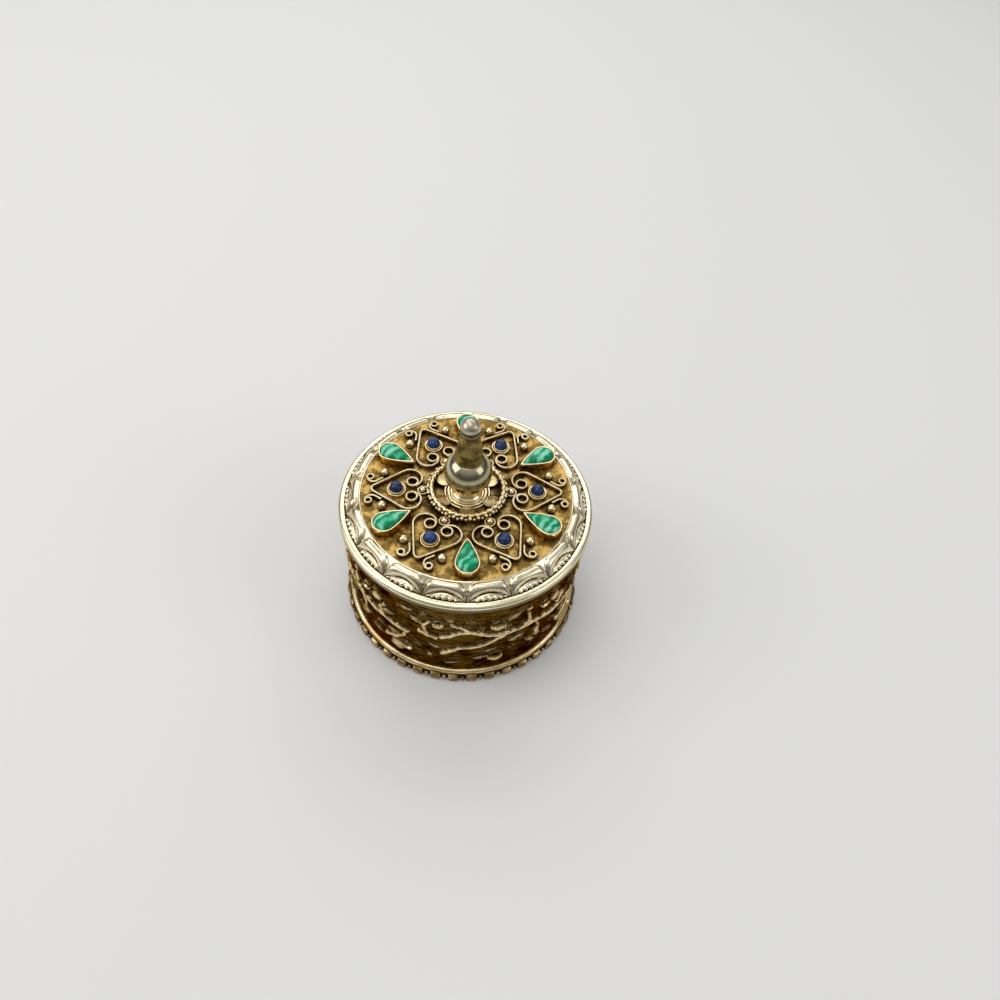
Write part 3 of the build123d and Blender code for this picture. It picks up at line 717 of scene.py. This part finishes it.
lappet = {
    "count": 18, "columns": 48, "rows": 44,
    "footRadius": 28.33, "topRadius": 24.96, "footUp": 33.65, "topUp": 36.5,
    "wallRadius": 28.35, "lowUp": 31.6, "grooveUp": 33.3, "underRadius": 26.5, "mouthRadius": 24.76,
    "seatUp": 35.6, "seatRadius": 23.65,
    "archRise": 0.95, "archTop": 4.25, "halfWidth": 4.8, "taper": 0.1, "shoulder": 1.9, "bend": 1.25,
    "leanLow": 0.55, "leanSpan": (0.4, 3.2), "under": (2.0, 4.6, 1.8),
    "lobeStart": 0.8, "lobePeak": 1.85, "lobeHalf": 4.2, "lobeRise": 0.38, "lobeBend": 0.7, "beadRise": 0.3,
    "beads": ((-2.5, 0.42, 0.42), (-1.35, 0.62, 0.6), (0.0, 0.7, 0.68), (1.35, 0.62, 0.6), (2.5, 0.42, 0.42)),
}


def lappetHeight(x, y):
    side = abs(x)
    half = lappet["halfWidth"] - lappet["taper"] * y
    shoulder = lappet["shoulder"]
    beyond = (side - (half - shoulder), y - (lappet["archTop"] - shoulder))
    outside = shoulder - (hypot(*beyond) if min(beyond) > 0 else max(beyond))
    peak, underHalf, power = lappet["under"]
    share = side / underHalf
    slope = power * peak / underHalf * share ** (power - 1)
    edge = min(outside, (y - peak * (1 - share ** power)) / sqrt(1 + slope * slope))
    if edge > 0:
        lean = lappet["leanLow"] + (1 - lappet["leanLow"]) * smooth(y, *lappet["leanSpan"])
        return lappet["archRise"] * lean * roundEdge(1 - min(1.0, edge / lappet["bend"]))
    lobe = lappet["lobePeak"] * (1 - (side / lappet["lobeHalf"]) ** 2) - y
    crown = roundEdge(1 - min(1.0, max(0.0, lobe) / lappet["lobeBend"]))
    height = lappet["lobeRise"] * smooth(y, 0.0, lappet["lobeStart"]) * crown
    for beadX, beadY, size in lappet["beads"]:
        reach = hypot(x - beadX, y - beadY) / size
        if reach < 1:
            height = max(height, (lappet["lobeRise"] + lappet["beadRise"]) * roundEdge(reach))
    return height


def makeLappets():
    columns, rows = lappet["columns"], lappet["rows"]
    footRadius, footUp = lappet["footRadius"], lappet["footUp"]
    run, rise = footRadius - lappet["topRadius"], lappet["topUp"] - footUp
    length = hypot(run, rise)
    halfTurn = pi / lappet["count"]
    turns = spaced(columns, -halfTurn, halfTurn)

    def plain(radiusName, upName):
        return level(lappet[radiusName], lappet[upName], turns)

    rings = [plain("underRadius", "lowUp"), plain("wallRadius", "lowUp"), plain("wallRadius", "grooveUp")]
    for share in spaced(rows):
        ring = []
        for turn in turns:
            across = turn / halfTurn * lappet["halfWidth"]
            height = lappetHeight(across, share * length) * smooth(share, 0.0, 0.04)
            radius = footRadius - run * share + height * (rise / length)
            ring.append(polar(radius, turn, footUp + rise * share + height * (run / length)))
        rings.append(ring)
    rings += [plain("mouthRadius", "topUp"), plain("mouthRadius", "seatUp")]
    rings += [plain("seatRadius", "seatUp"), rings[0]]
    piece = skin("lappetBorder", rings, closed=False)
    ringOf(piece, lappet["count"], 0, lappetPlate, 0.01)
    dress(piece, ["petal_border"], sharp=60)


makeLappets()
print("rim and lappets made")


# Filigree: hearts and comma scrolls of milled flat wire

scroll = {
    "width": 0.45, "height": 1.05, "grainStep": 0.36, "grainSize": 0.2,
    "round": 0.25, "stepDegrees": 12,
    "tipInset": 2.6, "tipRadius": 1.1, "volute": 2.75, "tighten": 0.8, "eye": 1.25, "eyeTurn": 342,
    "gap": 1.0, "cupGap": 1.5, "cupRadius": 8.65, "ropeWidth": 0.9, "wireWidth": 0.4, "stoneGap": 0.6,
    "commaGap": 0.45, "commaBend": 1.5, "commaEye": 0.75, "commaEyeTurn": 340, "commaTail": 1.5,
    "commaEdge": 1.3, "commaHeight": 0.945,
}
dish = {
    "bore": 1.6, "outer": 2.2, "ring": 0.28, "collar": 0.18,
    "floor": 0.35, "ringHeight": 0.8, "collarHeight": 1.2, "bend": 0.08,
}


def scrollLayout():
    volute, eye, halfWire = scroll["volute"], scroll["eye"], scroll["wireWidth"] / 2
    halfPitch = pi / lidRepeats
    centreX = scroll["cupRadius"] + scroll["ropeWidth"] / 2 + volute + scroll["cupGap"]
    centreY = centreX * math.tan(halfPitch)
    centreY -= (volute + halfWire + scroll["gap"]) / cos(halfPitch)
    tipX = box["plateRadius"] - scroll["tipInset"] - scroll["tipRadius"]
    span = hypot(tipX - centreX, centreY)
    shrink = volute - scroll["tipRadius"]
    lean = atan2(centreY, tipX - centreX) + asin(shrink / span)
    inner = volute * scroll["tighten"]
    eyeX = centreX - (volute - inner)
    eyeY = centreY - (inner - eye)
    reach = dish["outer"] + eye + halfWire + scroll["stoneGap"]
    return tipX, lean, sqrt(span ** 2 - shrink ** 2), eyeX + sqrt(reach ** 2 - eyeY ** 2)


heartTip, heartLean, heartSide, blueOut = scrollLayout()


def walked(start, heading, moves):
    x, y, bearing = start[0], start[1], radians(heading)
    places = [(x, y, bearing)]
    for size, turn in moves:
        if turn == 0:
            x, y = x + size * cos(bearing), y + size * sin(bearing)
            places.append((x, y, bearing))
            continue
        centreX, centreY = x - size * sin(bearing), y + size * cos(bearing)
        count = math.ceil(turn / scroll["stepDegrees"])
        for index in range(1, count + 1):
            bent = bearing + radians(turn) * index / count
            x, y = centreX + size * sin(bent), centreY - size * cos(bent)
            places.append((x, y, bent))
        bearing = bent
    return places


def pathPiece(name, places, up, closed=False):
    points = [(*place[:2], up) for place in places]
    edges = [(index, index + 1) for index in range(len(points) - 1)]
    if closed:
        edges.append((len(points) - 1, 0))
    return newPiece(name, points, [], edges)


def milled(piece, width, height, step, grainSize):
    return grow(piece, wireTree, {
        "Width": width * mm, "Height": height * mm, "Round": width * scroll["round"] * mm,
        "Grain Step": step * mm, "Grain Size": grainSize * mm, "Finish": wireGilt,
    })


def scrollPiece(name, places, height):
    piece = pathPiece(name, places, plateTop + height / 2)
    return milled(piece, scroll["width"], height, scroll["grainStep"], scroll["grainSize"])


def makeHearts():
    lean, tip, volute = degrees(heartLean), scroll["tipRadius"], scroll["volute"]
    half = [(tip, 90 - lean), (heartSide, 0), (volute, 90 + lean)]
    half += [(volute * scroll["tighten"], 90), (scroll["eye"], scroll["eyeTurn"])]
    endX, endY, endBearing = walked((heartTip + tip, 0), 90, half)[-1]
    places = walked((endX, -endY), 180 - degrees(endBearing), half[::-1] + half)
    piece = scrollPiece("heartScrolls", places, scroll["height"])
    setRound(piece, "heart_scroll", 0, scrollGilt)


def makeCommas():
    lean, bend, tail = heartLean, scroll["commaBend"], scroll["commaTail"]
    startBendX = box["plateRadius"] - scroll["commaEdge"] - bend - bend * sin(lean)
    line = heartTip * sin(lean) + scroll["tipRadius"] + scroll["commaGap"] + scroll["wireWidth"]
    startBendY = (line - startBendX * sin(lean)) / cos(lean)
    start = (startBendX - tail * cos(lean), startBendY + tail * sin(lean))
    moves = [(tail, 0), (bend, 90 + degrees(lean)), (scroll["commaEye"], scroll["commaEyeTurn"])]
    places = walked(start, -degrees(lean), moves)
    pair = []
    for side in (1, -1):
        turned = [(x, y * side, bearing) for x, y, bearing in places]
        pair.append(scrollPiece("comma", turned, scroll["commaHeight"]))
    piece = merged("commaScrolls", pair)
    setRound(piece, "comma_scrolls", 0, scrollGilt)


makeHearts()
makeCommas()
print("scrolls made")


# Stones in their collars

drop = {
    "length": 8.4, "width": 4.8, "height": 3.0, "girdle": 2.0, "sideTurn": 105, "margin": 0.95,
    "bezel": 0.35, "bezelHeight": 2.2, "bezelBend": 0.12, "gap": 0.05,
}
blue = {"radius": 1.55, "height": 2.7, "girdle": 1.35}
stone = {"play": 0.02, "domeRows": 9, "fullness": 0.8}


# A teardrop with its point inward, grown outward by the same amount all round
def dropOutline(grown, step=6):
    round_, turn = drop["width"] / 2, drop["sideTurn"]
    tip = round_ - drop["length"]
    normal = (cos(radians(turn)), sin(radians(turn)))
    reach = (round_ * normal[0] - tip, round_ * normal[1])
    sideRadius = (reach[0] ** 2 + reach[1] ** 2) / (2 * (reach[0] * normal[0] + reach[1] * normal[1]))
    sideX, sideY = (round_ - sideRadius) * normal[0], (round_ - sideRadius) * normal[1]
    side = sideRadius + grown
    tipX = sideX - sqrt(side ** 2 - sideY ** 2)
    flank = arc((sideX, sideY), side, degrees(atan2(-sideY, tipX - sideX)), turn, 12)
    crown = arc((0, 0), round_ + grown, turn, -turn, int(2 * turn / step))
    return flank + crown[1:] + [(x, -y) for x, y in flank[::-1]][1:-1]


def cabochon(name, outline, centreX, sizes):
    bottom, girdle, height, rows = plateTop, sizes["girdle"], sizes["height"], stone["domeRows"]
    levels = [(0, 1.0), (girdle * 0.5, 1.0)]
    for tilt in spaced(rows, 0, pi / 2)[:-1]:
        levels.append((girdle + (height - girdle) * sin(tilt), cos(tilt) ** stone["fullness"]))
    rings = [[(centreX + x * size, y * size, bottom + up) for x, y in outline] for up, size in levels]
    return skin(name, [[(centreX, 0, bottom)], *rings, [(centreX, 0, bottom + height)]])


# A section of (out, up) carried round an outline that can be grown outward
def stripRound(name, outlineOf, section, centreX):
    rings = []
    for out, up in section + section[:1]:
        rings.append([(centreX + x, y, plateTop + up) for x, y in outlineOf(out)])
    return skin(name, rings)


def ringSection(inner, width, height, bend):
    section = [(inner, 0), (inner + width, 0)]
    for across, turn in ((width - bend, 0), (bend, 90)):
        section += arc((inner + across, height - bend), bend, turn, turn + 90, 4)
    return section


def makeStones():
    centreX = box["plateRadius"] - drop["margin"] - drop["width"] / 2
    green = cabochon("greenDrops", dropOutline(-stone["play"]), centreX, drop)
    setRound(green, "drop_stone", 30, malachite, sharp=70)
    section = ringSection(drop["gap"], drop["bezel"], drop["bezelHeight"], drop["bezelBend"])
    collar = stripRound("dropBezels", dropOutline, section, centreX)
    setRound(collar, "drop_bezel", 30, bezelGilt)
    circle = arc((0, 0), blue["radius"] - stone["play"], 0, 360, 36)[:-1]
    round_ = cabochon("blueStones", circle, blueOut, blue)
    setRound(round_, "round_stone", 0, lapis, sharp=70)
    parts = []
    for inner, width, height in (
        (dish["outer"] - dish["ring"], dish["ring"], dish["ringHeight"]),
        (dish["bore"], dish["collar"], dish["collarHeight"]),
        (dish["bore"], dish["outer"] - dish["bore"] - 0.1, dish["floor"]),
    ):
        section = [(out, plateTop + up) for out, up in ringSection(inner, width, height, dish["bend"])]
        parts.append(turnedPiece("dish", section, 40, True, blueOut))
    collar = merged("roundBezels", parts)
    setRound(collar, "round_bezel", 0, wireGilt)


makeStones()
print("stones made")


# Granules: two beside each green stone, one at each heart's mouth inside a small coil

grain = {
    "flankRadius": 1.05, "flankOut": 20.05, "flankTurn": 14.27, "flankUp": 0.8,
    "mouthRadius": 0.8, "mouthOut": 10.3, "mouthUp": 0.65,
    "coilRadius": 1.15, "coilWidth": 0.3, "coilHeight": 0.5, "coilStep": 0.36, "coilGrain": 0.18,
}


def makeGranules():
    up, out = plateTop, grain["mouthOut"]
    balls = []
    for side in (1, -1):
        centre = polar(grain["flankOut"], side * radians(grain["flankTurn"]), up + grain["flankUp"])
        balls.append(ballPiece("flankBall", grain["flankRadius"], 9, 16, centre))
    balls.append(ballPiece("mouthBall", grain["mouthRadius"], 8, 14, (out, 0, up + grain["mouthUp"])))
    piece = merged("solderedBalls", balls)
    ringOf(piece, lidRepeats, 0, paleBead)
    dress(piece, ["granules"], paleBead, sharp=80)
    circle = arc((out, 0), grain["coilRadius"], 0, 360, 24)[:-1]
    coil = pathPiece("mouthCoils", circle, up + grain["coilHeight"] / 2, True)
    milled(coil, grain["coilWidth"], grain["coilHeight"], grain["coilStep"], grain["coilGrain"])
    ringOf(coil, lidRepeats, 0, wireGilt)
    dress(coil, [])


makeGranules()
print("granules made")


# Centre: cup with a twisted wire on its edge, beads outside it and a rosette inside

centre = {
    "outer": 8.65, "inner": 8.15, "height": 1.8, "corner": 0.1,
    "ropeRadius": 8.4, "ropeSize": 0.43, "ropeUp": 0.12, "ropeTurns": 34, "ropeSwell": 0.3,
    "beadPairs": 30, "beadOut": 9.1, "beads": ((0.46, 1.55, 0), (0.38, 1.2, 6)),
    "petalCount": 6, "petalIn": 4.7, "petalOut": 7.85, "petalWidth": 1.8, "petalThick": 0.28,
    "petalLift": (0.35, 0.75, 0.28, 0.07), "petalSwell": (0.35, 0.12, 0.62), "petalLeast": 0.12,
    "hoops": ((4.4, 0.34), (5.15, 0.24)),
}


def twistedRing(name, up, steps=272, around=12):
    rings = []
    for angle in spaced(steps, 0, 2 * pi):
        ring = []
        for tilt in evenTurns(around):
            swell = 1 + centre["ropeSwell"] * cos(2 * tilt - centre["ropeTurns"] * angle)
            reach = centre["ropeSize"] * swell
            ring.append(polar(centre["ropeRadius"] + reach * cos(tilt), angle, up + reach * 0.85 * sin(tilt)))
        rings.append(ring)
    return skin(name, rings)


def petalPiece(steps=12):
    rings, up = [], plateTop
    foot, curl, hollow, ribs = centre["petalLift"]
    waist, start, run = centre["petalSwell"]
    for share in spaced(steps):
        out = centre["petalIn"] + (centre["petalOut"] - centre["petalIn"]) * share
        width = centre["petalWidth"] * (waist + (1 - waist) * sin(pi * (start + run * share)))
        width = max(width * roundEdge(share, 5), centre["petalLeast"])
        top, bottom = [], []
        for across in spaced(steps, -1, 1):
            lift = foot + curl * share ** 1.5 + hollow * across * across + ribs * cos(across * 17)
            top.append((out, across * width, up + lift))
            bottom.append((out, across * width, up + max(0.02, lift - centre["petalThick"])))
        rings.append(top + bottom[::-1])
    return skin("rosettePetal", rings, caps=True)


def makeCentre():
    up, inner, outer, corner = plateTop, centre["inner"], centre["outer"], centre["corner"]
    top = up + centre["height"]
    section = [(inner, up), (outer, up), (outer, top - corner), (outer - corner, top), (inner + corner, top)]
    cup = turnedPiece("centreCup", section + [(inner, top - corner)], 96, loop=True)
    dress(cup, ["centre_cup"], wireGilt)
    rope = twistedRing("cupRope", top + centre["ropeUp"])
    dress(rope, ["rope_ring"], wireGilt, sharp=80)
    beads = []
    for radius, height, turn in centre["beads"]:
        spot = polar(centre["beadOut"], radians(turn), up + height)
        beads.append(ballPiece("cupBead", radius, 7, 12, spot))
    bead = merged("cupBeads", beads)
    ringOf(bead, centre["beadPairs"], 10, paleBead)
    dress(bead, [], paleBead, sharp=80)
    parts = [petalPiece()]
    ringOf(parts[0], centre["petalCount"], 30, petalGilt)
    for radius, size in centre["hoops"]:
        section = arc((radius, up + size), size, 0, 360, 12)[:-1]
        parts.append(turnedPiece("rosetteHoop", section, 64, loop=True))
        parts[-1].data.materials.append(paleBead)
    rosette = merged("rosette", parts)
    dress(rosette, ["rosette"], sharp=80)


makeCentre()
print("centre made")


# Finial: collar, ball, stem and cap

finial = {
    "hole": 0.8, "collarRadius": 4.0, "collarFoot": 0.6, "waist": 3.0, "collarHeight": 3.0, "seat": 3.2,
    "ballRadius": 5.5, "stemBase": 3.35, "stemTop": 2.3, "stemHeight": 7.7, "lip": 0.45, "lipDepth": 0.14,
    "stemRings": 13, "ringDepth": 0.03, "waistInset": 0.1, "waistSteps": 8, "corner": 0.08,
    "capRadius": 2.3, "capHeight": 4.0, "capRing": 0.9, "capGroove": 0.5, "grooveDepth": 0.3, "bend": 0.22,
}


def makeFinial():
    hole, up, bend, corner = finial["hole"], plateTop, finial["bend"], finial["corner"]

    def part(name, outline, steps, node, finish, loop=True):
        dress(turnedPiece(name, outline, steps, loop), [node], finish)

    ballRadius, seat, ballFoot = finial["ballRadius"], finial["seat"], up + finial["collarHeight"]
    rise = sqrt(ballRadius ** 2 - seat ** 2)
    middle = ballFoot + rise
    ballTop = middle + rise
    stemTop = ballTop + finial["stemHeight"]
    roll = finial["collarFoot"] / 2
    collar = [(hole, up)] + arc((finial["collarRadius"] - roll, up + roll), roll, -90, 90, 10)
    waist, waistUp = finial["waist"], up + finial["collarHeight"] / 2
    flare = finial["collarRadius"] - roll - finial["waistInset"] - waist
    for share in spaced(finial["waistSteps"]):
        sweep = 0.5 + 0.5 * cos(pi * share)
        collar.append((waist + flare * sweep, up + 2 * roll + (waistUp - up - 2 * roll) * share))
    collar += [(seat - corner, ballFoot - 0.5), (seat, ballFoot - 0.2), (seat, ballFoot), (hole, ballFoot)]
    part("finialCollar", collar, 72, "finial_collar", paleBead)
    seatTurn = degrees(asin(rise / ballRadius))
    ball = [(hole, ballFoot)] + arc((0, middle), ballRadius, -seatTurn, seatTurn, 32) + [(hole, ballTop)]
    part("finialBall", ball, 96, "finial_ball", ballPlate)
    base, tip = finial["stemBase"], finial["stemTop"]
    stem = [(hole, ballTop)] + arc((base - bend, ballTop + bend), bend, -90, 90, 8)
    lowRadius, lowUp, rows = base - finial["lipDepth"], ballTop + finial["lip"], finial["stemRings"] * 4
    for row in range(rows + 1):
        share = row / rows
        turned = finial["ringDepth"] * (sin(row * pi / 2) + 0.6 * sin(share * 23))
        radius = lowRadius + (tip - corner - lowRadius) * share + turned
        stem.append((radius, lowUp + (stemTop - 0.5 - lowUp) * share))
    stem += arc((tip - bend, stemTop - bend), bend, -60, 90, 6) + [(hole, stemTop)]
    part("finialStem", stem, 80, "finial_stem", stemPlate)
    cap = finial["capRadius"]
    ringTop = stemTop + finial["capRing"]
    grooveTop = ringTop + finial["capGroove"]
    groove = cap - finial["grooveDepth"]
    knob = [(0, stemTop)] + arc((cap - bend, stemTop + bend), bend, -90, 0, 5)
    knob += arc((cap - bend, ringTop - bend), bend, 0, 80, 5)
    knob += [(groove, ringTop + 0.06), (groove, grooveTop - 0.06)]
    knob += [(cap - corner, grooveTop), (cap, grooveTop + 0.1)]
    dome = stemTop + finial["capHeight"] - cap
    knob += arc((0, dome), cap, 4, 90, 14)[:-1] + [(0, dome + cap)]
    part("finialCap", knob, 72, "finial_cap", capPlate, loop=False)


makeFinial()
print("finial made")


# CAD nodes whose plain shape is right

plainNodes = {
    "base_plate": plainBrass, "lid_plate": plateGilt, "lid_skirt": plainBrass, "finial_pin": plainBrass,
    "finial_washer": plainBrass,
}
for nodeName, finish in plainNodes.items():
    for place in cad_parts[nodeName].material_slots:
        place.material = finish


# Floor, light and camera

studio = {
    "floorColour": (0.8, 0.8, 0.8), "floorSize": 3.0,
    "sideColour": (0.12, 0.12, 0.125), "topColour": (0.52, 0.52, 0.51), "sideUp": 0.2, "topUp": 0.75,
    "lamps": (
        ("backWindow", (0.0, 0.66, 0.62), (1.1, 0.5), 2.4, (0.98, 0.98, 1.0)),
        ("topSoft", (-0.12, -0.02, 0.85), (0.55, 0.45), 1.5, (1.0, 0.98, 0.94)),
        ("leftSoft", (-0.68, -0.05, 0.45), (0.55, 0.5), 1.7, (1.0, 0.98, 0.95)),
        ("rightSoft", (0.66, -0.25, 0.42), (0.4, 0.4), 0.8, (1.0, 0.99, 0.97)),
    ),
    "lampAim": (0, 0, 0.03),
    "cameraPlace": (-4.585, -112.646, 171.423), "cameraTurn": (39.3223, -3.9125, -1.5496), "lens": 27.04,
}


def makeStudio():
    half = studio["floorSize"] / 2 / mm
    corners = [(-half, -half, 0), (half, -half, 0), (half, half, 0), (-half, half, 0)]
    floor = newPiece("floor", corners, [(0, 1, 2, 3)])
    material, tree, shader, coords = newMaterial("paleFloor")
    feed(tree, shader, {
        "Base Color": studio["floorColour"], "Specular IOR Level": 0.1,
        "Roughness": ramp(tree, noiseValue(tree, coords, 90, 4), 0.3, 0.7, 0.75, 0.85),
    })
    floor.data.materials.append(material)
    world = bpy.data.worlds.new("room")
    world.use_nodes = True
    bpy.context.scene.world = world
    tree = world.node_tree
    upward = parted(tree, addNode(tree, "ShaderNodeTexCoord").outputs["Generated"])[2]
    share = ramp(tree, upward, studio["sideUp"], studio["topUp"])
    colour = mixColour(tree, share, studio["sideColour"], studio["topColour"])
    feed(tree, tree.nodes["Background"], {"Color": colour})
    for name, place, size, power, colour in studio["lamps"]:
        lamp = bpy.data.lights.new(name, "AREA")
        lamp.shape = "RECTANGLE"
        lamp.size, lamp.size_y = size
        lamp.energy, lamp.color = power, colour
        holder = stand(name, lamp)
        holder.location = place
        aim = Vector(studio["lampAim"]) - Vector(place)
        holder.rotation_euler = aim.to_track_quat("-Z", "Y").to_euler()
    eye = bpy.data.cameras.new("camera")
    eye.sensor_width, eye.lens = 36, studio["lens"]
    eye.clip_start, eye.clip_end = 0.01, 20
    holder = stand("camera", eye)
    holder.location = [value * mm for value in studio["cameraPlace"]]
    holder.rotation_euler = [radians(value) for value in studio["cameraTurn"]]
    bpy.context.scene.camera = holder
    bpy.context.scene.view_settings.view_transform = "Standard"


makeStudio()
print("studio made")
